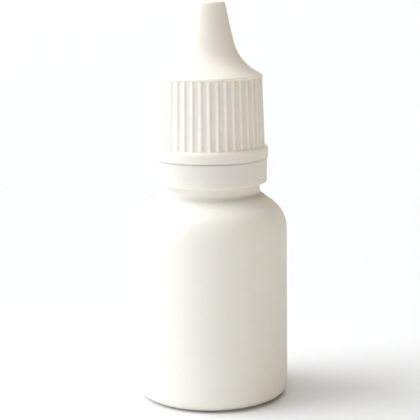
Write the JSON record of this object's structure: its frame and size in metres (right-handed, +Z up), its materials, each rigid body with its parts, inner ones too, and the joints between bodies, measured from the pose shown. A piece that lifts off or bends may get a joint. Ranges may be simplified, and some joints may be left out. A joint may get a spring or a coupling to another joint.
{
  "type": "dropper bottle",
  "caption": "Small plastic squeeze bottle with a press-in drip nozzle, a ribbed screw cap with a pointed nose, and a tamper ring.",
  "frame": {"origin": "centre of the circle that the foot ring rests on", "axes": "+Z up along the common axis of bottle, neck, plug, ring and cap"},
  "size_m": [0.024, 0.024, 0.0622],
  "materials": {
    "bottle_plastic": "satin white low-density polyethylene, blow-moulded",
    "plug_plastic": "milky natural low-density polyethylene, injection-moulded",
    "cap_plastic": "satin white high-density polyethylene, injection-moulded"
  },
  "bodies": {
    "bottle_body": {"bottle": "bottle_plastic", "dropper_plug": "plug_plastic"},
    "ring_body": {"tamper_ring": "cap_plastic", "tamper_bridges": "cap_plastic"},
    "cap_body": {"cap": "cap_plastic"}
  },
  "joints": [
    {"name": "cap_turn", "type": "hinge", "parent": "bottle_body", "child": "ring_body", "pos_m": [0, 0, 0.036], "axis": [0, 0, 1], "range_deg": [0, 2881]},
    {"name": "cap_lift", "type": "slide", "parent": "ring_body", "child": "cap_body", "axis": [0, 0, 1], "range_m": [0, 0.024]}
  ],
  "couplings": [
    {"joint": "cap_turn", "follows": "cap_lift", "rad_per_m": 2094.4}
  ]
}
